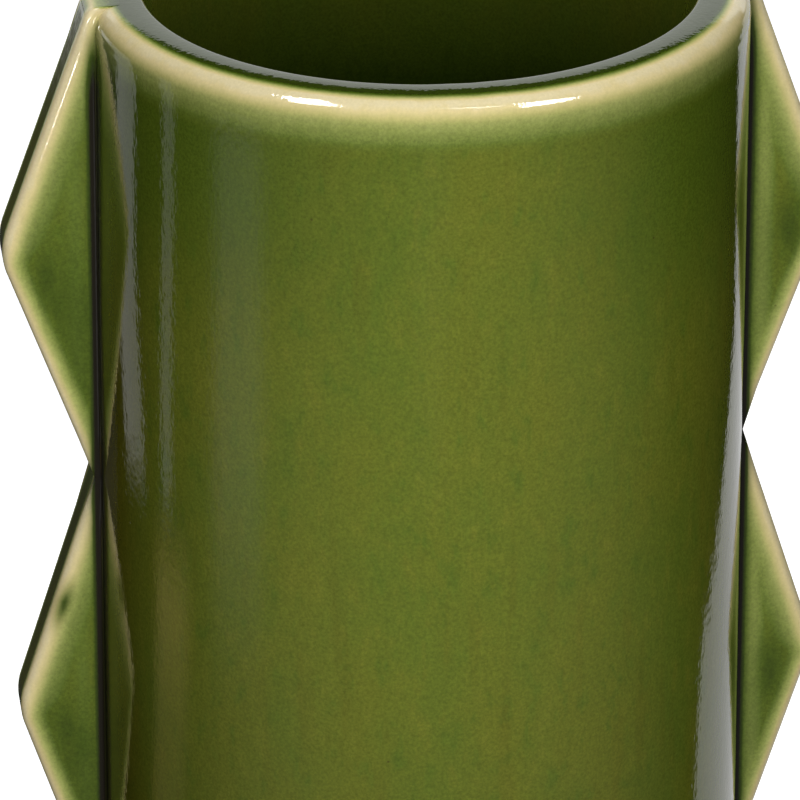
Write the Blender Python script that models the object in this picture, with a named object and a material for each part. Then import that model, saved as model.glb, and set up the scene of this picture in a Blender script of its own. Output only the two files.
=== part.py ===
"""Stoneware vase with zigzag slab fins.

A straight, slightly tapered tube with a soft rim is closed by a disc that is luted inside its lower end,
and stands on a turned foot ring. On two opposite sides a fin of three blunt triangular lobes is luted to
the wall, from the rim down to the foot. Metres, +Z up, origin on the table under the middle of the foot.
The fins lie in the plane Y = 0.
"""

import math

import bmesh
import bpy
from mathutils import Vector

# ---------------------------------------------------------------- driving dimensions, metres
RIM_RADIUS = 0.056          # outside radius of the wall at the rim
TAPER = 0.0183              # gain in radius for each metre below the rim
WALL = 0.0086               # thickness of the wall
SHOULDER_RADIUS = 0.0042    # soft outer edge of the rim
LIP_RADIUS = 0.0011         # crisper inner edge of the mouth

LOBE_HEIGHTS = (0.0883, 0.0913, 0.0913)     # from the top down, along the wall
TIP_RADIUS = 0.0735         # from the axis to the corner that the two straight edges of a lobe aim at
TIP_ROUND = 0.012           # radius that blunts that corner
FIN_THICKNESS = 0.0095
FIN_EDGE = 0.0018           # rounded edges of the slab
NOTCH_STAND = 0.0008        # how far the slab still stands off the wall at a notch
FIN_DROP = 0.0004           # top of the fin below the rim
FIN_TOP_RADIUS = 0.0566     # from the axis to the fin's top corner
FIN_TOP_ROUND = 0.003       # radius that blunts that corner
FIN_LIFT = 0.0017           # lowest lobe clear of the wall's lower edge

FOOT_HEIGHT = 0.006
FOOT_INSET = 0.0042         # foot ring inside the wall's outer face
FOOT_WIDTH = 0.0090
FLOOR_THICKNESS = 0.0090

GAP = 0.0003                # slip joint between two luted pieces
ROOT_DEPTH = 0.006          # how far a lobe's blank reaches into the wall before it is trimmed to it
TURN_STEPS = 96

HEIGHT = FOOT_HEIGHT + FIN_LIFT + sum(LOBE_HEIGHTS) + FIN_DROP
WALL_BOTTOM = FOOT_HEIGHT
FIN_TOP = HEIGHT - FIN_DROP

LOBE_NAMES = ("upper", "middle", "lower")


def outer_radius(z):
    """Outside radius of the wall at height z."""
    return RIM_RADIUS + TAPER * (HEIGHT - z)


def inner_radius(z):
    """Inside radius of the wall at height z."""
    return outer_radius(z) - WALL


# ---------------------------------------------------------------- materials
def principled(name, colour, roughness, metallic=0.0):
    material = bpy.data.materials.new(name)
    material.use_nodes = True
    shader = material.node_tree.nodes["Principled BSDF"]
    shader.inputs["Base Color"].default_value = (*colour, 1.0)
    shader.inputs["Roughness"].default_value = roughness
    shader.inputs["Metallic"].default_value = metallic
    material.diffuse_color = (*colour, 1.0)
    return material


# ---------------------------------------------------------------- modelling helpers
def arc(centre, radius, start, end, steps):
    """Points of an arc in the X-Z plane, angles in degrees from +X towards +Z."""
    points = []
    for step in range(steps + 1):
        angle = math.radians(start + (end - start) * step / steps)
        points.append((centre[0] + radius * math.cos(angle), centre[1] + radius * math.sin(angle)))
    return points


def rounded_corner(before, corner, after, radius, steps):
    """Arc that rounds one corner of an outline in the X-Z plane."""
    corner_point = Vector(corner)
    to_before = (Vector(before) - corner_point).normalized()
    to_after = (Vector(after) - corner_point).normalized()
    half = to_before.angle(to_after) / 2
    bisector = (to_before + to_after).normalized()
    centre = corner_point + bisector * (radius / math.sin(half))
    reach = radius / math.tan(half)
    first = corner_point + to_before * reach - centre
    last = corner_point + to_after * reach - centre
    turn = first.angle_signed(last)
    points = []
    for step in range(steps + 1):
        angle = -turn * step / steps
        cos, sin = math.cos(angle), math.sin(angle)
        offset = Vector((first.x * cos - first.y * sin, first.x * sin + first.y * cos))
        points.append(tuple(centre + offset))
    return points


def add_object(name, mesh, material):
    part = bpy.data.objects.new(name, mesh)
    bpy.context.collection.objects.link(part)
    mesh.materials.append(material)
    return part


def turned_piece(name, profile, material):
    """Closed profile of (radius, height) points, clockwise with its outer side first, turned about Z."""
    mesh = bpy.data.meshes.new(name)
    vertices = [(radius, 0.0, height) for radius, height in profile]
    edges = [(index, (index + 1) % len(profile)) for index in range(len(profile))]
    mesh.from_pydata(vertices, edges, [])
    part = add_object(name, mesh, material)
    screw = part.modifiers.new("Turn", "SCREW")
    screw.axis = "Z"
    screw.angle = math.tau
    screw.steps = TURN_STEPS
    screw.render_steps = TURN_STEPS
    screw.use_merge_vertices = True
    screw.merge_threshold = 0.00001
    screw.use_smooth_shade = True
    return part


def turned_disc(name, profile, material):
    """Open profile that starts and ends on the axis, turned about Z into a solid."""
    mesh = bpy.data.meshes.new(name)
    work = bmesh.new()
    points = [work.verts.new((radius, 0.0, height)) for radius, height in profile]
    edges = [work.edges.new((a, b)) for a, b in zip(points, points[1:])]
    bmesh.ops.spin(work, geom=points + edges, cent=(0, 0, 0), axis=(0, 0, 1), dvec=(0, 0, 0),
                   angle=math.tau, steps=TURN_STEPS, use_merge=True)
    bmesh.ops.remove_doubles(work, verts=work.verts[:], dist=0.00001)
    bmesh.ops.recalc_face_normals(work, faces=work.faces[:])
    work.to_mesh(mesh)
    work.free()
    mesh.shade_smooth()
    mesh.set_sharp_from_angle(angle=math.radians(35))
    return add_object(name, mesh, material)


# ---------------------------------------------------------------- the body
def rim_points(grow=0.0):
    """Outer side of the wall from the top of the rim down over the shoulder, set out by grow."""
    centre = (RIM_RADIUS - SHOULDER_RADIUS, HEIGHT - SHOULDER_RADIUS)
    return arc(centre, SHOULDER_RADIUS + grow, 90, 0, 6)


def body_wall(glaze):
    """The tube: rolled rim, tapered outer face, eased lower edge."""
    lower_edge = 0.0015
    profile = rim_points()
    profile.append((outer_radius(WALL_BOTTOM + lower_edge), WALL_BOTTOM + lower_edge))
    profile.append((outer_radius(WALL_BOTTOM) - lower_edge, WALL_BOTTOM))
    profile.append((inner_radius(WALL_BOTTOM), WALL_BOTTOM))
    lip_centre = (RIM_RADIUS - WALL + LIP_RADIUS, HEIGHT - LIP_RADIUS)
    profile += arc(lip_centre, LIP_RADIUS, 180, 90, 3)
    return turned_piece("body_wall", profile, glaze)


def floor_disc(glaze):
    """The disc luted inside the lower end of the tube."""
    bottom = FOOT_HEIGHT + GAP
    top = bottom + FLOOR_THICKNESS
    radius = inner_radius(top) - GAP
    ease = 0.0010
    profile = [(0.0, top), (radius - ease, top), (radius, top - ease), (radius, bottom), (0.0, bottom)]
    return turned_disc("floor_disc", profile, glaze)


def foot_ring(clay):
    """The turned ring that carries the wall and the edge of the floor disc."""
    outside = outer_radius(WALL_BOTTOM) - FOOT_INSET
    inside = outside - FOOT_WIDTH
    top = FOOT_HEIGHT - GAP
    ease = 0.0012
    profile = [(outside, top)]
    profile += arc((outside - ease, ease), ease, 0, -90, 3)
    profile += arc((inside + ease, ease), ease, 270, 180, 3)
    profile.append((inside, top))
    return turned_piece("foot_ring", profile, clay)


def wall_cutter(material):
    """Solid of the wall's outer shape plus the slip joint, which trims the roots of the lobes."""
    reach = 0.01
    profile = rim_points(GAP)
    profile.append((outer_radius(-reach) + GAP, -reach))
    profile = [(0.0, profile[0][1])] + profile + [(0.0, -reach)]
    cutter = turned_disc("wall_cutter", profile, material)
    cutter.hide_render = True
    cutter.display_type = "WIRE"
    return cutter


# ---------------------------------------------------------------- the fins
def lobe_outline(index):
    """Outline of lobe number index in the X-Z plane, clockwise, with its root inside the wall."""
    top = FIN_TOP - sum(LOBE_HEIGHTS[:index])
    bottom = top - LOBE_HEIGHTS[index]
    tip = (TIP_RADIUS, (top + bottom) / 2)
    root_top = (outer_radius(top) + NOTCH_STAND, top - GAP / 2)
    root_bottom = (outer_radius(bottom) + NOTCH_STAND, bottom + GAP / 2)
    outline = [(RIM_RADIUS - ROOT_DEPTH, root_top[1])]
    if index == 0:
        root_top = (FIN_TOP_RADIUS, root_top[1])
        outline += rounded_corner(outline[0], root_top, tip, FIN_TOP_ROUND, 4)
    else:
        outline.append(root_top)
    outline += rounded_corner(root_top, tip, root_bottom, TIP_ROUND, 8)
    outline += [root_bottom, (RIM_RADIUS - ROOT_DEPTH, root_bottom[1])]
    return outline


def lobe(name, index, side, cutter, glaze):
    """One slab lobe: extruded outline with rounded edges, trimmed to the wall."""
    mesh = bpy.data.meshes.new(name)
    work = bmesh.new()
    half = FIN_THICKNESS / 2
    ring = [work.verts.new((side * x, -half, z)) for x, z in lobe_outline(index)]
    face = work.faces.new(ring)
    pushed = bmesh.ops.extrude_face_region(work, geom=[face])
    moved = [item for item in pushed["geom"] if isinstance(item, bmesh.types.BMVert)]
    bmesh.ops.translate(work, verts=moved, vec=(0, FIN_THICKNESS, 0))
    bmesh.ops.recalc_face_normals(work, faces=work.faces[:])
    rims = [edge for edge in work.edges if edge.verts[0].co.y == edge.verts[1].co.y]
    bmesh.ops.bevel(work, geom=rims, offset=FIN_EDGE, offset_type="OFFSET", segments=3,
                    profile=0.5, affect="EDGES", clamp_overlap=False)
    work.to_mesh(mesh)
    work.free()
    part = add_object(name, mesh, glaze)
    trim = part.modifiers.new("Trim", "BOOLEAN")
    trim.operation = "DIFFERENCE"
    trim.solver = "EXACT"
    trim.object = cutter
    mesh.shade_smooth()
    mesh.set_sharp_from_angle(angle=math.radians(35))
    return part


def build():
    for item in list(bpy.data.objects):
        bpy.data.objects.remove(item, do_unlink=True)
    green_glaze = principled("green_glaze", (0.115, 0.175, 0.030), 0.12)
    bare_clay = principled("bare_clay", (0.56, 0.44, 0.31), 0.80)
    body_wall(green_glaze)
    floor_disc(green_glaze.copy())
    foot_ring(bare_clay)
    cutter = wall_cutter(bare_clay)
    for side, side_name in ((-1, "left"), (1, "right")):
        for index, lobe_name in enumerate(LOBE_NAMES):
            lobe(f"fin_{side_name}_{lobe_name}", index, side, cutter, green_glaze.copy())


build()
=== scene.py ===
"""Looks of the stoneware vase with zigzag slab fins: a thick green glaze that breaks to cream on every edge.

Metres, +Z up, the vase stands on Z = 0 and its fins lie in the plane Y = 0. Lights and reflections are laid
out in the studio's own frame, which is turned about Z so that its -Y points at the camera.
"""

import math

import bmesh
import bpy
import numpy as np
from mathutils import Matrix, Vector


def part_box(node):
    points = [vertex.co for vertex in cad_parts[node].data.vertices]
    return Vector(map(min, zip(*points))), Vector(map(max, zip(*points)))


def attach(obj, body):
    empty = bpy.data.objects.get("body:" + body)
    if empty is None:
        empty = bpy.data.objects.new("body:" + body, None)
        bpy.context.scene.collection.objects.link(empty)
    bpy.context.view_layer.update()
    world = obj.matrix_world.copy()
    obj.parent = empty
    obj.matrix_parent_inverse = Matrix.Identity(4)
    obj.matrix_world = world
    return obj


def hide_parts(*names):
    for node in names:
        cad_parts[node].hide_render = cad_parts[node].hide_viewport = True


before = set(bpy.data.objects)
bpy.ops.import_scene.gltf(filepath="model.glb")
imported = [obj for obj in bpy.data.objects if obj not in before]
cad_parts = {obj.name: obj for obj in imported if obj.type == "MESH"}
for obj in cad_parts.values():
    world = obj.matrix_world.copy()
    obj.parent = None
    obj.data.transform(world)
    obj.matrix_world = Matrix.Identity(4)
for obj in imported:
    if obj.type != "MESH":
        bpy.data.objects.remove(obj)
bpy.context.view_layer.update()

MM = 0.001

# ---------------------------------------------------------------- places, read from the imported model
WALL_LOW, WALL_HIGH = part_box("body_wall")
FLOOR_LOW, FLOOR_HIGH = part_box("floor_disc")
FOOT_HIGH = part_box("foot_ring")[1]
LOBES = ("upper", "middle", "lower")
LOBE_BOXES = [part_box(f"fin_right_{lobe}") for lobe in LOBES]
TOP = WALL_HIGH.z
BOTTOM = WALL_LOW.z
FIN_HALF = LOBE_BOXES[0][1].y
FIN_REACH = LOBE_BOXES[0][1].x

# ---------------------------------------------------------------- sizes of the wall
TAPER = 0.0183              # gain in radius for each metre below the rim
WALL = 8.6 * MM             # thickness
SHOULDER = 4.2 * MM         # soft outer edge of the rim
LIP = 0.8 * MM              # crisper inner edge of the mouth
OUTWARD = math.radians(10)  # how far the slightly crowned top of the rim leans at its outer edge
INWARD = math.radians(5)    # and at its inner edge
RIM_RADIUS = WALL_HIGH.x - TAPER * (TOP - BOTTOM)
# radius of the rim's crowned top across the wall, and height of the middle of the shoulder's arc
CROWN = ((WALL - SHOULDER * (1 - math.sin(OUTWARD)) - LIP * (1 - math.sin(INWARD)))
         / (math.sin(OUTWARD) + math.sin(INWARD)))
SHOULDER_HEIGHT = TOP - CROWN + (CROWN - SHOULDER) * math.cos(OUTWARD)
LOWER_EASE = 1.5 * MM       # eased lower edge of the wall
FOOT_WIDTH = 9.0 * MM
FOOT_EASE = 1.4 * MM        # rounded lower edges of the foot ring

# ---------------------------------------------------------------- sizes of the fins
TIP_ROUND = 12.0 * MM       # radius that blunts a lobe's corner
NOTCH_STAND = 0.8 * MM      # how far the slab still stands off the wall at a notch
LOWER_LOBE_EXTRA = 0.4 * MM  # the lower lobes were cut a little longer
FIN_EDGE = 1.8 * MM         # rounded edges of the slab
FIN_FILLET = 1.5 * MM       # glaze and slip in the corner between slab and wall
FILLET_UNDER = 0.10 * MM    # how far the fillet's end lies under the wall's surface
FIN_ROOT = 1.2 * MM         # how far a lobe's mesh reaches into the wall from there
SHORTEST = 0.02 * MM        # least length of a lobe's cross-section
FIN_START = 4.6 * MM        # the fin's top comes out of the rim's top from here, inside the rim's radius
FIN_START_DROP = 0.11 * MM  # and here it is just below the rim's crowned top
FIN_TOP_DROP = 0.5 * MM     # how far it has fallen where it turns down into the sloping edge
FIN_CORNER = 3.2 * MM       # radius of that turn
LOBE_TOP_RADIUS = RIM_RADIUS + 0.8 * MM     # from the axis to it

# ---------------------------------------------------------------- rows and steps of the meshes
NEAR_RIM = 14 * MM          # the wall's rows are closer together from here up
OPEN_ROWS, NEAR_RIM_ROWS, INSIDE_ROWS = 84, 24, 60
SHOULDER_STEPS, CROWN_STEPS, LIP_STEPS, EASE_STEPS = 26, 14, 10, 8
TIP_STEPS, CORNER_STEPS, EDGE_STEPS, FLAT_STEPS = 40, 16, 48, 10
FILLET_STEPS, FACE_STEPS, ROUND_STEPS, OUTER_STEPS = 8, 14, 10, 5       # along half a cross-section
FLOOR_ROWS, FLOOR_COLUMNS, FOOT_COLUMNS = 30, 96, 160

# ---------------------------------------------------------------- where the glaze is thin or thick, and where shade is painted
# Fades say how far cream reaches from an edge. The values on the points run from 0 to 1: how thin the glaze
# is, how far it has pooled with painted shade on top, how warm a brown it is, and how much deeper green is
# painted as shade.
BODY_FADE = 0.86            # long on the rim, short on the fins
UPPER_FADE = 0.80           # on a lobe's upper edge, which the glaze has run down from
FIN_FADE = 0.47
LIP_FADE = 0.22
CREST_STEP = 17             # step of the shoulder's arc where the cream is brightest
CREAM_END = (0.7 * MM, 2.6 * MM)        # cream fades out over this stretch inwards from there
RIM_TOP_SHADE_START = (1.4 * MM, 3.0 * MM)   # and the painted shade on the rim's top sets in over this one
# how dark the painted shade on the rim's top is
RIM_TOP_SHADE = 0.70
# how dark the painted shade deep inside is
INSIDE_SHADE = 0.62
INSIDE_SHADE_DEPTHS = (2 * MM, 50 * MM)         # the painted shade inside darkens the wall between these depths
UNDERSIDE = 12 * MM         # length of profile under the wall that isn't part of the inside
CREASE_MIDDLE = 0.6         # where the crease's pooled glaze and painted shade are darkest, as a share of the fillet's size
CREASE_START = 19.0 * MM    # the crease beside a fin, pooled glaze with painted shade, is fully dark from here below the rim
SIDE_BROWN = (6 * MM, 32 * MM)          # the wall is browner this near the fins
SIDE_SHADE_DEPTH = (18 * MM, 55 * MM)        # the painted shade, a deeper green on the wall towards the fins below the rim, ends between these depths

# on the fins, by side: -1 left, 1 right
LIGHT_BAND = {-1: 0.10, 1: 0.26}        # paler band beside the crease
CREASE_SHIFT = {-1: 0.5 * MM, 1: 0.9 * MM}              # how much wider than on the wall the crease is
FULL_GLAZE_AND_SHADE = {-1: (0.20, 0.24), 1: (0.10, 0.16)}        # thicker glaze and painted shade all over a lobe, and more lower down

# ---------------------------------------------------------------- camera
CAMERA_TURN = -9.5          # degrees about Z
CAMERA_TILT = 63.39         # degrees from straight down
CAMERA_BACK = 0.672
CAMERA_SIDE = -3.3 * MM
CAMERA_ABOVE_RIM = 0.2564
LENS = 190.3


def studio(x, y, z):
    """A point of the studio's frame (X to the right, Y away from the camera) in the vase's frame."""
    turn = math.radians(CAMERA_TURN)
    return Vector((x * math.cos(turn) - y * math.sin(turn), x * math.sin(turn) + y * math.cos(turn), z))


# ---------------------------------------------------------------- small helpers
def smooth(low, high, value):
    """0 below low, 1 above high, and a soft step between."""
    t = np.clip((value - low) / (high - low), 0.0, 1.0)
    return t * t * (3 - 2 * t)


def thin_glaze(distance, fade):
    """How far the glaze thins, from 1 on an edge to 0 in the open, at a distance from it in metres."""
    reach = np.array([0.0, 1.3, 2.6, 3.7, 4.9, 6.0, 8.0, 10.5]) * MM * fade
    amount = np.array([1.0, 0.93, 0.72, 0.47, 0.33, 0.23, 0.09, 0.0])
    return np.interp(distance, reach, amount)


def crease_pool_and_shade(distance):
    """How far the glaze has run together, with painted shade in the corner on top of it, from 1 in a corner
    to 0 in the open.
    """
    return np.exp(-((distance / (1.15 * MM)) ** 2)) + 0.25 * np.exp(-((distance / (2.6 * MM)) ** 2))


def outer_radius(z):
    return RIM_RADIUS + TAPER * (TOP - z)


def hand(angle, z):
    """Small unevenness left by the hand, in metres, smooth and a few centimetres long."""
    return 0.045 * MM * (np.sin(2 * angle + 31 * z + 0.4) + np.sin(3 * angle - 47 * z + 1.9)
                         + 0.6 * np.sin(5 * angle + 83 * z + 4.0) + 0.4 * np.sin(109 * z + 2.2))


def add_piece(name, points, values, material, nodes, close_rows):
    """Skins rows of closed loops into one closed mesh with a value for each point, and puts it on the body.

    points is an array (rows, columns, 3). The rows either close into a ring or end in caps.
    """
    rows, columns = points.shape[:2]
    index = np.arange(rows * columns).reshape(rows, columns)
    below = np.roll(index, -1, axis=0) if close_rows else index[1:]
    above = index if close_rows else index[:-1]
    faces = np.stack([above, np.roll(above, -1, axis=1), np.roll(below, -1, axis=1), below], axis=-1)
    faces = faces.reshape(-1, 4).tolist()
    if not close_rows:
        faces += [index[0].tolist(), index[-1].tolist()]
    mesh = bpy.data.meshes.new(name)
    mesh.from_pydata(points.reshape(-1, 3).tolist(), [], faces)
    for label, amount in values.items():
        layer = mesh.attributes.new(label, "FLOAT", "POINT")
        layer.data.foreach_set("value", np.asarray(amount, dtype=np.float32).ravel())
    work = bmesh.new()
    work.from_mesh(mesh)
    bmesh.ops.recalc_face_normals(work, faces=work.faces[:])
    work.to_mesh(mesh)
    work.free()
    mesh.shade_smooth()
    mesh.set_sharp_from_angle(angle=math.radians(40))
    mesh.materials.append(material)
    piece = bpy.data.objects.new(name, mesh)
    bpy.context.scene.collection.objects.link(piece)
    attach(piece, "root")
    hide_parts(*nodes)
    return piece


# ---------------------------------------------------------------- material building
class Nodes:
    """Short calls that add and wire shader nodes."""

    MIX_FIRST, MIX_SECOND, MIX_RESULT = 6, 7, 2     # colour sockets of a mix node

    def __init__(self, name):
        self.material = bpy.data.materials.new(name)
        self.material.use_nodes = True
        self.tree = self.material.node_tree
        self.shader = self.tree.nodes["Principled BSDF"]

    def set_input(self, socket, value):
        if isinstance(value, bpy.types.NodeSocket):
            self.tree.links.new(value, socket)
        else:
            socket.default_value = value

    def add(self, kind, output=0, settings=None, **inputs):
        node = self.tree.nodes.new(kind)
        for key, value in (settings or {}).items():
            setattr(node, key, value)
        for key, value in inputs.items():
            self.set_input(node.inputs[key.replace("_", " ")], value)
        return node.outputs[output]

    def place(self, stretch=(1, 1, 1)):
        """The piece's own coordinates, in metres, stretched."""
        here = self.add("ShaderNodeTexCoord", output="Object")
        return self.add("ShaderNodeMapping", Vector=here, Scale=stretch)

    def value(self, label):
        """A value stored on the mesh's points."""
        return self.add("ShaderNodeAttribute", output="Fac", settings={"attribute_name": label})

    def math(self, operation, first, second=0.0, clamp=False):
        node = self.tree.nodes.new("ShaderNodeMath")
        node.operation = operation
        node.use_clamp = clamp
        self.set_input(node.inputs[0], first)
        self.set_input(node.inputs[1], second)
        return node.outputs[0]

    def noise(self, size, place, detail=2.0, roughness=0.5, distortion=0.0):
        """Noise from 0 to 1 with features of that size in metres."""
        return self.add("ShaderNodeTexNoise", Vector=place, Scale=1 / size, Detail=detail,
                        Roughness=roughness, Distortion=distortion)

    def remap(self, value, low, high, new_low=0.0, new_high=1.0):
        return self.add("ShaderNodeMapRange", Value=value, From_Min=low, From_Max=high,
                        To_Min=new_low, To_Max=new_high)

    def ramp(self, value, stops):
        node = self.tree.nodes.new("ShaderNodeValToRGB")
        node.color_ramp.interpolation = "LINEAR"
        elements = node.color_ramp.elements
        while len(elements) < len(stops):
            elements.new(0.5)
        for element, (position, colour) in zip(elements, stops):
            element.position = position
            element.color = (*colour, 1.0)
        self.set_input(node.inputs[0], value)
        return node.outputs[0]

    def mix(self, amount, first, second, blend="MIX"):
        """Mix of two colours, each a socket or (red, green, blue)."""
        node = self.tree.nodes.new("ShaderNodeMix")
        node.data_type = "RGBA"
        node.blend_type = blend
        self.set_input(node.inputs[0], amount)
        for socket, colour in ((self.MIX_FIRST, first), (self.MIX_SECOND, second)):
            self.set_input(node.inputs[socket], (*colour, 1.0) if isinstance(colour, tuple) else colour)
        return node.outputs[self.MIX_RESULT]

    def bump(self, height, distance, under=None):
        inputs = {"Height": height, "Distance": distance, "Strength": 1.0}
        if under is not None:
            inputs["Normal"] = under
        return self.add("ShaderNodeBump", **inputs)

    def finish(self, colour, roughness, normal, ior):
        self.set_input(self.shader.inputs["Base Color"], colour)
        self.set_input(self.shader.inputs["Roughness"], roughness)
        self.set_input(self.shader.inputs["Normal"], normal)
        self.shader.inputs["IOR"].default_value = ior
        return self.material


# ---------------------------------------------------------------- materials
OLIVE = (0.138, 0.158, 0.0150)
GREEN = (0.116, 0.154, 0.0155)
PALE_PATCH = (0.158, 0.174, 0.018)
DARK_PATCH = (0.094, 0.141, 0.014)
BROWN_RUN = (0.112, 0.100, 0.009)
BROWN_SIDE = (0.125, 0.100, 0.006)
# a deeper green that paints shade on the wall's sides below the rim
SIDE_SHADE_GREEN = (0.076, 0.119, 0.0090)
# dark green and black of pooled glaze, also painting shade in creases, on the rim's top and deep inside
POOL_AND_SHADE_GREEN = (0.045, 0.078, 0.005)
POOL_AND_SHADE_BLACK = (0.0085, 0.0065, 0.0025)
IRON_SPECK = (0.055, 0.040, 0.008)
THINNING = [                # colour of the glaze as it thins towards an edge
    (0.00, (0.128, 0.153, 0.014)),
    (0.09, (0.140, 0.190, 0.028)),
    (0.23, (0.225, 0.270, 0.060)),
    (0.33, (0.275, 0.315, 0.080)),
    (0.47, (0.360, 0.380, 0.115)),
    (0.72, (0.520, 0.470, 0.180)),
    (0.93, (0.680, 0.570, 0.285)),
    (1.00, (0.700, 0.605, 0.360)),
]
SPECK_CELL = 6.5 * MM       # one cell in four of this size holds a speck
SPECK_CHANCE = 0.72         # a cell's random value has to be over this


def make_glaze():
    """Glossy green glaze: cream where thin, olive to green in the open, black-brown where it gathers. The
    same dark colours paint shade in creases, on the rim's top and deep inside, and a deeper green paints
    shade on the wall's sides.
    """
    n = Nodes("green_glaze")
    place = n.place()
    hanging = n.place((1, 1, 0.45))
    clouds = n.noise(17 * MM, hanging, detail=2.0)
    blotches = n.noise(2.8 * MM, hanging, detail=3.0, roughness=0.6)
    grain = n.noise(0.50 * MM, place, detail=2.0, roughness=0.65)

    ripple = n.math("MULTIPLY", n.math("SUBTRACT", blotches, 0.5), 0.20)
    thin = n.math("ADD", n.value("thin"), n.math("MULTIPLY", ripple, n.remap(n.value("thin"), 0.0, 0.25)),
                  clamp=True)
    open_green = n.mix(n.remap(clouds, 0.35, 0.65), OLIVE, GREEN)
    patchy = n.mix(n.remap(blotches, 0.55, 0.72, 0.0, 0.8), open_green, PALE_PATCH)
    patchy = n.mix(n.remap(blotches, 0.45, 0.28, 0.0, 0.8), patchy, DARK_PATCH)
    runs = n.noise(3.5 * MM, n.place((1, 1, 0.10)), detail=2.0)
    patchy = n.mix(n.remap(runs, 0.58, 0.76, 0.0, 0.30), patchy, BROWN_RUN)
    patchy = n.mix(n.math("MULTIPLY", n.value("warm"), 0.85), patchy, BROWN_SIDE)
    # painted shade: a deeper green on the wall's sides below the rim
    patchy = n.mix(n.math("MULTIPLY", n.value("side_shade"), 0.85), patchy, SIDE_SHADE_GREEN)
    colour = n.mix(n.remap(thin, 0.0, 0.12), patchy, n.ramp(thin, THINNING))
    # pooled glaze and painted shade turn the colour dark green, and past 0.4 towards black
    pool_and_shade = n.value("pool_and_shade")
    uneven_pool_and_shade = n.math("MULTIPLY", pool_and_shade, n.remap(blotches, 0.25, 0.75, 0.82, 1.18))
    colour = n.mix(n.remap(uneven_pool_and_shade, 0.0, 0.55), colour, POOL_AND_SHADE_GREEN)
    shade = n.remap(grain, 0.30, 0.70, 0.80, 1.20)
    colour = n.mix(n.remap(thin, 0.05, 0.8, 1.0, 0.25), colour, shade, blend="MULTIPLY")
    colour = n.mix(n.remap(pool_and_shade, 0.40, 1.0), colour, POOL_AND_SHADE_BLACK)

    cells = n.tree.nodes.new("ShaderNodeTexVoronoi")
    n.set_input(cells.inputs["Vector"], place)
    cells.inputs["Scale"].default_value = 1 / SPECK_CELL
    cell_value = n.add("ShaderNodeSeparateColor", Color=cells.outputs["Color"])
    chosen = n.math("GREATER_THAN", cell_value, SPECK_CHANCE)
    speck = n.math("MULTIPLY", chosen, n.remap(cells.outputs["Distance"], 0.018, 0.045, 1.0, 0.0))
    colour = n.mix(n.math("MULTIPLY", speck, 0.65), colour, IRON_SPECK)

    wobble = n.noise(2.6 * MM, place, detail=1.0)
    peel = n.noise(0.7 * MM, hanging, detail=1.0)
    normal = n.bump(wobble, 0.022 * MM)
    normal = n.bump(peel, 0.020 * MM, under=normal)
    normal = n.bump(n.math("MULTIPLY", speck, -1.0), 0.03 * MM, under=normal)
    roughness = n.remap(blotches, 0.2, 0.8, 0.035, 0.075)
    return n.finish(colour, roughness, normal, 1.5)


def make_clay():
    """Bare fired clay with grog and turning lines."""
    n = Nodes("bare_clay")
    place = n.place()
    clouds = n.noise(9 * MM, place, detail=3.0)
    grog = n.noise(0.7 * MM, place, detail=3.0, roughness=0.7)
    rings = n.noise(0.9 * MM, n.place((0.04, 0.04, 1)), detail=2.0)
    colour = n.mix(clouds, (0.50, 0.385, 0.265), (0.62, 0.50, 0.36))
    colour = n.mix(n.remap(grog, 0.58, 0.72, 0.0, 0.6), colour, (0.27, 0.18, 0.11))
    normal = n.bump(rings, 0.10 * MM)
    normal = n.bump(grog, 0.12 * MM, under=normal)
    return n.finish(colour, n.remap(grog, 0.3, 0.7, 0.72, 0.92), normal, 1.5)


def make_paper():
    """The pale seamless floor. It glows like an overexposed studio floor, a little more in the distance."""
    n = Nodes("pale_floor")
    place = n.place()
    fibres = n.noise(1.5 * MM, place, detail=2.0)
    colour = n.mix(fibres, (0.80, 0.80, 0.79), (0.84, 0.84, 0.83))
    distance = n.add("ShaderNodeVectorMath", output="Value", settings={"operation": "LENGTH"}, Vector=place)
    n.shader.inputs["Emission Color"].default_value = (1.0, 1.0, 1.0, 1.0)
    n.set_input(n.shader.inputs["Emission Strength"], n.remap(distance, 0.5, 3.0, 0.85, 1.0))
    return n.finish(colour, 0.9, n.bump(fibres, 0.02 * MM), 1.4)


def make_card():
    """Glowing card, as bright and as warm as the values on its points say. Only reflections see it."""
    n = Nodes("studio_reflections")
    colour = n.mix(n.value("warmth"), (1.0, 1.0, 1.0), (1.0, 0.74, 0.28))
    glow = n.add("ShaderNodeEmission", Color=colour, Strength=n.value("bright"))
    out = n.tree.nodes["Material Output"]
    n.tree.nodes.remove(n.shader)
    n.tree.links.new(glow, out.inputs["Surface"])
    return n.material


# ---------------------------------------------------------------- the fins' outline
def arc(centre, radius, start, end, steps):
    """Points and outward normals of an arc in the X-Z plane, angles in radians from +X towards +Z."""
    angles = np.linspace(start, end, steps + 1)
    normals = np.stack([np.cos(angles), np.sin(angles)], axis=1)
    return np.array(centre) + radius * normals, normals


def sharp_tip(root_top, root_bottom, reach):
    """Where a lobe's two straight edges would meet, if rounding it brings it back to that reach."""
    middle = (root_top[1] + root_bottom[1]) / 2
    tip = reach
    for _ in range(30):
        slope = math.atan2(root_top[1] - middle, tip - (root_top[0] + root_bottom[0]) / 2)
        tip = reach + TIP_ROUND * (1 / math.sin(slope) - 1)
    return tip, middle


def corner(before, point, after, radius, steps):
    """Rounds one convex corner of an outline that runs down, outside to the right."""
    before, point, after = (np.array(p, float) for p in (before, point, after))
    into = (point - before) / np.linalg.norm(point - before)
    away = (after - point) / np.linalg.norm(after - point)
    first = math.atan2(into[0], -into[1])
    last = math.atan2(away[0], -away[1])
    half = (first - last) / 2
    normal = np.array([-into[1], into[0]])
    centre = point - into * radius * math.tan(half) - normal * radius
    return arc(centre, radius, first, last, steps)


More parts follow.
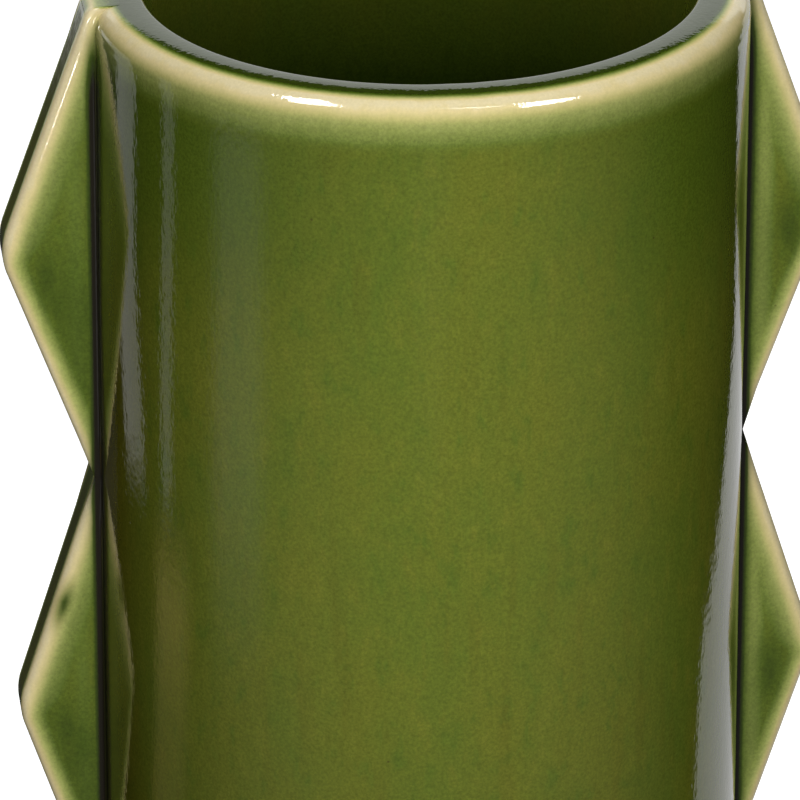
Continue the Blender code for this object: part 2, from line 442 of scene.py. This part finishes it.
def straight(start, end, steps):
    """Points between two arcs' ends, without the ends, and their outward normals."""
    along = np.linspace(0, 1, steps + 2)[1:-1, None]
    start, end = np.array(start), np.array(end)
    run = (end - start) / np.linalg.norm(end - start)
    points = start + along * (end - start)
    return points, np.repeat([[-run[1], run[0]]], len(points), axis=0)


def notch_heights():
    """Heights where the lobes begin and end, from the rim down."""
    heights = [TOP]
    for upper, lower in zip(LOBE_BOXES, LOBE_BOXES[1:]):
        heights.append((upper[0].z + lower[1].z) / 2)
    heights.append(LOBE_BOXES[-1][0].z)
    return heights


def lobe_outline(index):
    """Points and outward normals down the outer edge of a lobe, in the plane of the fin."""
    heights = notch_heights()
    top = (outer_radius(heights[index]) + NOTCH_STAND, heights[index])
    bottom = (outer_radius(heights[index + 1]) + NOTCH_STAND, heights[index + 1])
    if index == 0:
        top = (LOBE_TOP_RADIUS, TOP - FIN_TOP_DROP)
    tip = sharp_tip(top, bottom, FIN_REACH + (LOWER_LOBE_EXTRA if index else 0.0))
    round_points, round_normals = corner(top, tip, bottom, TIP_ROUND, TIP_STEPS)
    if index == 0:
        start = (RIM_RADIUS - FIN_START, TOP - FIN_START_DROP)
        first, first_normals = corner(start, top, tip, FIN_CORNER, CORNER_STEPS)
        flat, flat_normals = straight(start, first[0], FLAT_STEPS)
        flat = np.vstack([[start], flat])
        flat_normals = np.vstack([[(0.0, 1.0)], flat_normals])
        first, first_normals = np.vstack([flat, first]), np.vstack([flat_normals, first_normals])
    else:
        first = np.array([top])
        first_normals = straight(top, round_points[0], 1)[1]
    upper, upper_normals = straight(first[-1], round_points[0], EDGE_STEPS)
    lower, lower_normals = straight(round_points[-1], bottom, EDGE_STEPS)
    points = np.vstack([first, upper, round_points, lower, [bottom]])
    normals = np.vstack([first_normals, upper_normals, round_normals, lower_normals, lower_normals[-1:]])
    return points, normals


# ---------------------------------------------------------------- the wall
def wall_profile():
    """Closed profile of the wall, (radius, height), up the outside first, with its thin glaze and the painted
    shade on the rim's top and deep inside.
    """
    crown_centre = (RIM_RADIUS - SHOULDER + (SHOULDER - CROWN) * math.sin(OUTWARD), TOP - CROWN)
    shoulder_centre = (RIM_RADIUS - SHOULDER, SHOULDER_HEIGHT)
    lip_centre = (RIM_RADIUS - WALL + LIP, TOP - CROWN + (CROWN - LIP) * math.cos(INWARD))
    open_heights = np.linspace(BOTTOM + LOWER_EASE, TOP - NEAR_RIM, OPEN_ROWS)
    near_rim = np.linspace(TOP - NEAR_RIM, SHOULDER_HEIGHT, NEAR_RIM_ROWS)[1:-1]
    heights = np.concatenate([open_heights, near_rim])
    outside = np.stack([outer_radius(heights), heights], axis=1)
    shoulder, _ = arc(shoulder_centre, SHOULDER, 0, math.pi / 2 - OUTWARD, SHOULDER_STEPS)
    crown, _ = arc(crown_centre, CROWN, math.pi / 2 - OUTWARD, math.pi / 2 + INWARD, CROWN_STEPS)
    crown = crown[1:-1]
    lip, _ = arc(lip_centre, LIP, math.pi / 2 + INWARD, math.pi, LIP_STEPS)
    inner_heights = np.linspace(lip_centre[1], FLOOR_LOW.z, INSIDE_ROWS)[1:]
    inside = np.stack([outer_radius(inner_heights) - WALL, inner_heights], axis=1)
    bottom_radius = outer_radius(BOTTOM)
    base = np.array([(bottom_radius - WALL, BOTTOM), (bottom_radius - WALL / 2, BOTTOM)])
    ease_centre = (bottom_radius - LOWER_EASE, BOTTOM + LOWER_EASE)
    ease, _ = arc(ease_centre, LOWER_EASE, -math.pi / 2, 0, EASE_STEPS)
    profile = np.vstack([outside, shoulder, crown, lip, inside, base, ease[:-1]])

    steps = np.linalg.norm(np.diff(profile, axis=0), axis=1)
    along = np.concatenate([[0.0], np.cumsum(steps)])
    crest = along[len(outside) + CREST_STEP]
    lip_crest = along[len(outside) + len(shoulder) + len(crown) + LIP_STEPS // 2]
    ease_crest = along[-1 - EASE_STEPS // 2]
    past_crest = 1 - smooth(*CREAM_END, along - crest)
    thin = np.where(along <= crest, thin_glaze(crest - along, BODY_FADE), past_crest)
    for edge in (lip_crest, ease_crest):
        thin = np.maximum(thin, 0.9 * thin_glaze(abs(along - edge), LIP_FADE))
    thin = np.maximum(thin, 0.8 * thin_glaze(profile[:, 1] - BOTTOM, FIN_FADE) * (along < crest))
    on_top = smooth(*RIM_TOP_SHADE_START, along - crest) * (along < lip_crest)
    is_inside = (along > lip_crest) & (along < ease_crest - UNDERSIDE)
    inside_shade = smooth(*INSIDE_SHADE_DEPTHS, TOP - profile[:, 1]) * is_inside
    return profile, thin, np.maximum(RIM_TOP_SHADE * on_top, INSIDE_SHADE * inside_shade)


def wall_angles():
    """Angles round the wall, closer together where the fins' corners are."""
    near, far = 11.0, 80.0          # millimetres round the wall from the middle of a fin
    fine, coarse = 0.4, 1.15
    offsets = np.concatenate([np.arange(0, near, fine), np.arange(near, far, coarse)]) * MM / RIM_RADIUS
    quarter = offsets[offsets < math.pi / 2 - 0.008]
    half = np.concatenate([-quarter[:0:-1], quarter])
    return np.concatenate([half, [math.pi / 2], half + math.pi, [3 * math.pi / 2]])


def make_wall(glaze):
    profile, thin, pool_and_shade = wall_profile()
    angles = wall_angles()
    radius, height = profile[:, :1], profile[:, 1:]
    depth = TOP - height
    outside = radius + hand(angles[None, :], height) * smooth(0, 20 * MM, height - BOTTOM)
    points = np.stack([outside * np.cos(angles), outside * np.sin(angles),
                       np.broadcast_to(height, outside.shape)], axis=-1)
    beside = np.abs(points[..., 1])
    is_outer = (radius > RIM_RADIUS - SHOULDER - 0.1 * MM) & (height > BOTTOM)
    # pooled glaze and painted shade in the corner beside each fin
    from_corner = np.maximum(beside - (FIN_HALF + FIN_FILLET * CREASE_MIDDLE), 0.0)
    gathered_and_shaded = crease_pool_and_shade(from_corner) * is_outer * smooth(0.5 * MM, CREASE_START, depth)
    # painted shade: the wall is a deeper green towards the fins, just below the rim
    towards_fins = smooth(0.05, 0.75, np.abs(np.cos(angles)))
    values = {
        "thin": np.broadcast_to(thin[:, None], outside.shape) * (1 - 0.8 * np.clip(gathered_and_shaded, 0, 1)),
        "pool_and_shade": np.maximum(np.broadcast_to(pool_and_shade[:, None], outside.shape), gathered_and_shaded),
        "warm": (1 - smooth(*SIDE_BROWN, beside)) * is_outer,
        "side_shade": towards_fins * (1 - smooth(*SIDE_SHADE_DEPTH, depth)) * is_outer,
    }
    return add_piece("body", points, values, glaze, ["body_wall"], close_rows=True)


# ---------------------------------------------------------------- the lobes
def shrink_of(length, stretch):
    """How much the slab's rounded edge and its fillet shrink where the slab hardly stands off the wall."""
    return min(1.0, length / (FIN_FILLET + FIN_EDGE * stretch + 0.2 * MM))


def lobe_section(length, stretch, radius):
    """Half of a slab's cross-section, from the wall to the middle of its outer edge.

    Returns points (distance from the wall, offset from the slab's middle plane), and for each the distance
    along the surface from the rounded edge's crest and from the corner with the wall.
    """
    shrink = shrink_of(length, stretch)
    fillet, edge = FIN_FILLET * shrink, FIN_EDGE * shrink
    start = math.sqrt(radius ** 2 - (FIN_HALF + fillet) ** 2) - radius - FILLET_UNDER
    turn = np.linspace(0, math.pi / 2, FILLET_STEPS + 1)
    root = np.stack([start + fillet * (1 - np.cos(turn)), FIN_HALF + fillet * (1 - np.sin(turn))], axis=1)
    face_end = length - edge * stretch
    spread = 0.5 - 0.5 * np.cos(np.linspace(0, math.pi, FACE_STEPS + 2)[1:-1])
    face = np.stack([root[-1][0] + (face_end - root[-1][0]) * spread, np.full(FACE_STEPS, FIN_HALF)], axis=1)
    turn = np.linspace(0, math.pi / 2, ROUND_STEPS + 1)
    crown = np.stack([face_end + edge * stretch * np.sin(turn), FIN_HALF - edge * (1 - np.cos(turn))], axis=1)
    to_middle = np.linspace(FIN_HALF - edge, 0, OUTER_STEPS + 1)[1:]
    outer = np.stack([np.full(OUTER_STEPS, length), to_middle], axis=1)
    section = np.vstack([root, face, crown, outer])
    steps = np.linalg.norm(np.diff(section, axis=0), axis=1)
    along = np.concatenate([[0.0], np.cumsum(steps)])
    crest = along[len(root) + len(face) + ROUND_STEPS // 2]
    return section, np.abs(along - crest), np.maximum(along - fillet * CREASE_MIDDLE, 0.0)


def root_of(point):
    """Where the section through a point of the outline leaves the wall, and the way it runs outwards."""
    centre = np.array([RIM_RADIUS - SHOULDER, SHOULDER_HEIGHT])
    if point[1] > centre[1]:
        direction = (point - centre) / np.linalg.norm(point - centre)
        return centre + direction * SHOULDER, direction
    return np.array([outer_radius(point[1]), point[1]]), np.array([1.0, 0.0])


def soft_spot(flat, centre, size, lean=0.0):
    """1 at a centre in the plane of the fin, fading to 0 around it, over a size in both directions."""
    across = (flat[:, 0] - centre[0]) / size[0]
    up = (flat[:, 1] - centre[1]) / size[1]
    return np.exp(-((across + lean * up) ** 2) - up ** 2)


def lobe_blots(index, side, flat, from_crest, tip_height):
    """Thick glaze near the tip of every lobe, and one leaning drip on the left fin's middle lobe."""
    near_tip = soft_spot(flat, (FIN_REACH - 7.4 * MM, tip_height - 5.0 * MM), (3.6 * MM, 10.0 * MM))
    blots = 0.50 * near_tip * smooth(2.0 * MM, 3.6 * MM, from_crest)
    if side < 0 and LOBES[index] == "middle":
        place = (RIM_RADIUS + 8.8 * MM, tip_height + 21.0 * MM)
        drip = soft_spot(flat, place, (1.3 * MM, 3.8 * MM), lean=0.9)
        blots = np.maximum(blots, 0.55 * drip)
    return blots


def lobe_glaze(index, side, point, normal, flat, outer_face, from_crest, from_corner):
    """Thin, pooled and warm glaze over one section of a lobe, with painted shade in the crease, over the
    faces and on the top where it meets the rim.
    """
    heights = notch_heights()
    tip_height = (heights[index] + heights[index + 1]) / 2
    fade = FIN_FADE + (UPPER_FADE - FIN_FADE) * float(smooth(-0.15, 0.25, normal[1]))
    thin = np.where(outer_face, 1 - smooth(0.4 * MM, 2.8 * MM, from_crest), thin_glaze(from_crest, fade))
    edge_pool_and_shade = 0.30 * smooth(1.2 * MM, 3.0 * MM, from_crest) * outer_face
    warm = outer_face * smooth(0.5 * MM, 2.0 * MM, from_crest)
    if index == 0 and normal[1] > 0.5:
        # the top of the fin goes over into the rim, so its glaze, with the painted shade of the rim's top,
        # follows the drop below the rim as there
        drop = TOP - flat[:, 1]
        by_drop = smooth(0.15 * MM, 0.80 * MM, drop)
        level = float(smooth(0.55, 0.98, normal[1]))
        thin = thin + level * (np.where(outer_face, by_drop, np.minimum(thin, by_drop)) - thin)
        edge_pool_and_shade = edge_pool_and_shade + level * (RIM_TOP_SHADE * (1 - smooth(0.05 * MM, 0.45 * MM, drop)) - edge_pool_and_shade)
    light_band = LIGHT_BAND[side] * np.exp(-(((from_corner - 4.0 * MM) / (1.8 * MM)) ** 2))
    blots = lobe_blots(index, side, flat, from_crest, tip_height)
    # thicker glaze and painted shade darken the lobe's faces, more on the lower part
    whole, lower = FULL_GLAZE_AND_SHADE[side]
    full = whole + lower * float(smooth(-10 * MM, 10 * MM, tip_height - point[1]))
    full = full * smooth(2.0 * MM, 4.5 * MM, from_crest) * ~outer_face
    # pooled glaze and painted shade in the crease against the wall
    start = float(smooth(0.5 * MM, CREASE_START, TOP - point[1]))
    crease = crease_pool_and_shade(np.maximum(from_corner - CREASE_SHIFT[side], 0.0)) * start
    thin = np.maximum(thin, light_band) * (1 - 0.8 * np.clip(blots, 0, 1))
    return {"thin": thin, "pool_and_shade": np.maximum.reduce([crease, blots, full, edge_pool_and_shade]), "warm": warm}


def make_lobe(index, side, side_name, glaze):
    """One slab lobe, skinned over cross-sections from its root on the wall to its outline."""
    rows = []
    values = {"thin": [], "pool_and_shade": [], "warm": []}
    for point, normal in zip(*lobe_outline(index)):
        root, direction = root_of(point)
        length = max(float((point - root) @ direction), SHORTEST)
        stretch = 1 / max(float(normal @ direction), 0.5)
        half, half_crest, half_corner = lobe_section(length, stretch, root[0])
        inner = half[0, 0] - FIN_ROOT
        reach = np.concatenate([half[:, 0], half[-2::-1, 0], [inner, inner]])
        offset = np.concatenate([-half[:, 1], half[-2::-1, 1], [half[0, 1], -half[0, 1]]])
        from_crest = np.concatenate([half_crest, half_crest[-2::-1], [half_crest[0]] * 2])
        from_corner = np.concatenate([half_corner, half_corner[-2::-1], [0.0] * 2])
        flat = root[None, :] + reach[:, None] * direction[None, :]
        rows.append(np.stack([side * flat[:, 0], offset, flat[:, 1]], axis=-1))
        outer_face = reach > length - 0.35 * FIN_EDGE * shrink_of(length, stretch)
        row = lobe_glaze(index, side, point, normal, flat, outer_face, from_crest, from_corner)
        for label, amount in row.items():
            values[label].append(amount)
    name = f"fin_{side_name}_{LOBES[index]}"
    return add_piece(f"{name}_glazed", np.stack(rows), values, glaze, [name], close_rows=False)


# ---------------------------------------------------------------- floor disc and foot
def turned(name, profile, angles, values, material, nodes):
    """A turned ring from a closed profile of (radius, height)."""
    radius, height = profile[:, :1], profile[:, 1:]
    points = np.stack([radius * np.cos(angles), radius * np.sin(angles),
                       np.broadcast_to(height, (len(profile), len(angles)))], axis=-1)
    spread = {label: np.broadcast_to(np.asarray(v)[:, None], points.shape[:2]) for label, v in values.items()}
    return add_piece(name, points, spread, material, nodes, close_rows=True)


def make_floor_disc(glaze):
    """The inside floor, slightly dished, with glaze pooled round its edge and painted shade in that corner. A
    pin-sized hub closes it.
    """
    hub = 0.2 * MM
    dish = 0.6 * MM
    radius = FLOOR_HIGH.x
    out = np.linspace(hub, radius, FLOOR_ROWS)
    top = np.stack([out, FLOOR_HIGH.z - dish + dish * smooth(0.0, 1.0, out / radius)], axis=1)
    under = np.stack([out[::-1], np.full(len(out), FLOOR_LOW.z)], axis=1)
    profile = np.vstack([top, under])
    gathered_and_shaded = 0.8 * crease_pool_and_shade((radius - out) / 2.0)
    values = {"thin": np.zeros(len(profile)), "pool_and_shade": np.concatenate([gathered_and_shaded, np.zeros(len(out))])}
    angles = np.linspace(0, math.tau, FLOOR_COLUMNS, endpoint=False)
    return turned("inside_floor", profile, angles, values, glaze, ["floor_disc"])


def make_foot(clay):
    outside = FOOT_HIGH.x
    inside = outside - FOOT_WIDTH
    top = FOOT_HIGH.z
    outer, _ = arc((outside - FOOT_EASE, FOOT_EASE), FOOT_EASE, 0, -math.pi / 2, EASE_STEPS)
    inner, _ = arc((inside + FOOT_EASE, FOOT_EASE), FOOT_EASE, -math.pi / 2, -math.pi, EASE_STEPS)
    outer_side, inner_side = [(outside, top), (outside, top / 2)], [(inside, top / 2), (inside, top)]
    profile = np.vstack([outer_side, outer, inner, inner_side])
    angles = np.linspace(0, math.tau, FOOT_COLUMNS, endpoint=False)
    return turned("foot", profile, angles, {}, clay, ["foot_ring"])


# ---------------------------------------------------------------- studio
# Brightness of what the glaze mirrors, areas of floor first and then cards. 1 is white in the picture.
SWEEP, WINDOW, FRONT, PATCH, SLIVER, WARM_PATCH = 0.78, 0.55, 0.17, 0.34, 0.50, 0.60
BACKDROP, SOFTBOX, TUBE, RIDGE = 1.12, 28.0, 14.0, 44.0
CEILING = 1.30              # height of the softboxes and the tube

# name, corners in the studio's frame, brightness
CARDS = [
    ("backdrop", [(-2.2, 3.0, 0.05), (2.2, 3.0, 0.05), (2.2, 3.0, 1.90), (-2.2, 3.0, 1.90)], BACKDROP),
    ("left_softbox", [(-0.59, -0.13, CEILING), (-0.35, -0.13, CEILING),
                      (-0.43, -0.60, CEILING), (-0.80, -0.63, CEILING)], SOFTBOX),
    ("right_softbox", [(0.43, -0.41, CEILING), (0.92, -0.42, CEILING),
                       (1.18, -0.72, CEILING), (0.71, -0.98, CEILING)], SOFTBOX),
    ("tube", [(0.15, -0.48, CEILING), (0.40, -0.54, CEILING),
              (0.40, -0.60, CEILING), (0.15, -0.54, CEILING)], TUBE),
]
RIDGE_CARD = [(-0.38, -0.82, 0.098), (-0.08, -0.90, 0.098), (-0.08, -0.90, 0.150), (-0.38, -0.82, 0.150)]

# name, what it lights, place and aim in the studio's frame, size, watts
LIGHTS = [
    ("fin_fill", "fins", (0.0, -0.60, 0.22), (0.0, 0.0, 0.16), (0.10, 0.30), 1.36),
    ("front_strip", "vase", (0.02, -0.25, 0.235), (0.0, 0.0, 0.20), (0.05, 0.25), 0.44),
    ("back_strip", "vase", (-0.02, 0.36, 0.22), (0.0, 0.0, 0.17), (0.06, 0.46), 1.2),
    ("left_strip", "vase", (-0.45, 0.40, 0.30), (0.0, 0.0, 0.17), (0.1, 0.5), 0.7),
    ("right_strip", "vase", (0.45, 0.40, 0.30), (0.0, 0.0, 0.17), (0.1, 0.5), 0.7),
    ("left_softbox", None, (-0.54, -0.36, CEILING), (0.0, 0.0, 0.28), (0.26, 0.40), 2.2),
    ("right_softbox", None, (0.80, -0.63, CEILING), (0.0, 0.0, 0.28), (0.34, 0.34), 2.2),
    ("top_light", None, (0.0, -0.03, 1.20), (0.0, 0.0, 0.28), (0.30, 0.30), 6.0),
]


def band(value, start, full, fall, end):
    """0 up to start, 1 from full to fall, and 0 again after end."""
    return smooth(start, full, value) * (1 - smooth(fall, end, value))


def floor_glow(azimuth, distance):
    """Brightness and warmth of the floor that the glaze reflects, by direction and distance from the vase.

    Azimuth is in degrees from the camera towards the right; the lit sweep lies behind the vase.
    """
    turn = np.radians(azimuth)
    x, y = distance * np.sin(turn), -distance * np.cos(turn)
    sweep_side = 0.20 + 0.11 * smooth(0.01, 0.14, y)
    sweep_right = (y > 0.02) & (x >= 0) & ((x < sweep_side) | (azimuth > 140.5))
    sweep = np.where(sweep_right | (azimuth < -160), SWEEP, 0.0)
    beyond = (0.03 + 0.97 * smooth(1.14, 1.36, distance)) * (azimuth < -127)
    front = FRONT * (1 - smooth(38, 98, np.abs(azimuth - 4)))
    patch = PATCH * band(azimuth, -76, -66, -58, -48) * band(distance, 0.32, 0.52, 0.72, 0.80)
    far = smooth(0.41, 0.45, distance)
    slanted = azimuth - 42 * (0.6 - np.minimum(distance, 0.6))
    window = WINDOW * band(slanted, -126, -125, -113, -112) * far
    sliver = SLIVER * band(azimuth, -96.5, -95.0, -92.0, -89.0) * far
    warm = WARM_PATCH * band(azimuth, -102, -95, -87, -79) * (1 - smooth(0.37, 0.43, distance))
    warm = warm * (0.45 + 0.55 * smooth(0.30, 0.38, distance))
    bright = np.maximum(np.maximum(sweep, beyond), front + patch + window + sliver + warm)
    return bright, warm / np.maximum(bright, 0.01)


def add_stage_mesh(name, points, faces, values, material):
    mesh = bpy.data.meshes.new(name)
    mesh.from_pydata([tuple(p) for p in points], [], faces)
    for label, amount in values.items():
        layer = mesh.attributes.new(label, "FLOAT", "POINT")
        layer.data.foreach_set("value", np.asarray(amount, dtype=np.float32))
    mesh.materials.append(material)
    item = bpy.data.objects.new(name, mesh)
    bpy.context.scene.collection.objects.link(item)
    return item


def add_card(name, points, faces, values, card):
    """A glowing surface that only reflections see."""
    item = add_stage_mesh(f"{name}_reflection", points, faces, values, card)
    item.visible_camera = False
    item.visible_diffuse = False
    item.visible_shadow = False
    item.visible_transmission = False
    return item


def add_card_quad(name, corners, bright, card):
    """A glowing card with its four corners in the studio's frame."""
    points = [studio(*corner) for corner in corners]
    return add_card(name, points, [(0, 1, 2, 3)], {"bright": [bright] * 4}, card)


def add_glow_ring(card):
    """Flat ring of floor round the vase, seen only by reflections."""
    azimuths = np.arange(-180.0, 180.0, 0.8)
    distances = np.concatenate([np.linspace(0.075, 0.8, 40), np.linspace(0.85, 3.0, 20)])
    azimuth, distance = np.meshgrid(azimuths, distances, indexing="ij")
    just_above_floor = 0.8 * MM
    turn = np.radians(azimuth).ravel()
    points = [studio(r * math.sin(a), -r * math.cos(a), just_above_floor)
              for a, r in zip(turn, distance.ravel())]
    index = np.arange(azimuth.size).reshape(azimuth.shape)
    following = np.roll(index, -1, axis=0)
    faces = np.stack([index[:, :-1], following[:, :-1], following[:, 1:], index[:, 1:]], axis=-1)
    bright, warmth = floor_glow(azimuth, distance)
    values = {"bright": bright.ravel(), "warmth": warmth.ravel()}
    add_card("floor", points, faces.reshape(-1, 4).tolist(), values, card)


def add_floor():
    half = 14.0
    corners = [(-half, -half, 0.0), (half, -half, 0.0), (half, half, 0.0), (-half, half, 0.0)]
    ground = add_stage_mesh("floor", corners, [(0, 1, 2, 3)], {}, make_paper())
    ground.visible_glossy = False
    ground.visible_diffuse = False


def add_area_light(name, place, aim, size, power, only):
    """A soft light at place, aimed at a point, both in the studio's frame. No reflection shows it."""
    light = bpy.data.lights.new(name, "AREA")
    light.shape = "RECTANGLE"
    light.size, light.size_y = size
    light.energy = power
    lamp = bpy.data.objects.new(name, light)
    bpy.context.scene.collection.objects.link(lamp)
    lamp.location = studio(*place)
    lamp.rotation_euler = (studio(*aim) - lamp.location).to_track_quat("-Z", "Y").to_euler()
    lamp.visible_camera = False
    lamp.visible_glossy = False
    if only is not None:
        lamp.light_linking.receiver_collection = only


def make_world():
    """White behind everything, seen by the camera only."""
    world = bpy.data.worlds.new("studio")
    bpy.context.scene.world = world
    world.use_nodes = True
    world.node_tree.nodes["Background"].inputs["Color"].default_value = (1.0, 1.0, 1.0, 1.0)
    world.cycles_visibility.diffuse = False
    world.cycles_visibility.glossy = False
    world.cycles_visibility.transmission = False
    world.cycles_visibility.scatter = False


def lit_group(name, pieces):
    """Collection that holds the only pieces a light or a card reaches."""
    group = bpy.data.collections.new(name)
    for piece in pieces:
        group.objects.link(piece)
    return group


def make_studio(pieces):
    add_floor()
    card = make_card()
    add_glow_ring(card)
    for name, corners, bright in CARDS:
        add_card_quad(name, corners, bright, card)
    ridge = add_card_quad("ridge", RIDGE_CARD, RIDGE, card)
    upper_left = [piece for piece in pieces if piece.name == "fin_left_upper_glazed"]
    ridge.light_linking.receiver_collection = lit_group("lit_by_ridge_card", upper_left)
    make_world()
    fins = [piece for piece in pieces if piece.name.startswith("fin_")]
    groups = {"vase": lit_group("lit_by_strips", pieces), "fins": lit_group("fins", fins), None: None}
    for name, lit, place, aim, size, power in LIGHTS:
        add_area_light(name, place, aim, size, power, groups[lit])


def make_camera():
    data = bpy.data.cameras.new("camera")
    data.lens = LENS
    data.sensor_width = 36
    data.clip_start, data.clip_end = 0.01, 100
    camera = bpy.data.objects.new("camera", data)
    bpy.context.scene.collection.objects.link(camera)
    camera.location = studio(CAMERA_SIDE, -CAMERA_BACK, TOP + CAMERA_ABOVE_RIM)
    camera.rotation_euler = (math.radians(CAMERA_TILT), 0.0, math.radians(CAMERA_TURN))
    bpy.context.scene.camera = camera


# ---------------------------------------------------------------- everything together
def main():
    glaze = make_glaze()
    clay = make_clay()
    pieces = [make_wall(glaze), make_floor_disc(glaze), make_foot(clay)]
    for side, side_name in ((-1, "left"), (1, "right")):
        for index in range(len(LOBES)):
            pieces.append(make_lobe(index, side, side_name, glaze))
    make_studio(pieces)
    make_camera()
    view = bpy.context.scene.view_settings
    view.view_transform = "Standard"
    view.look = "None"


main()
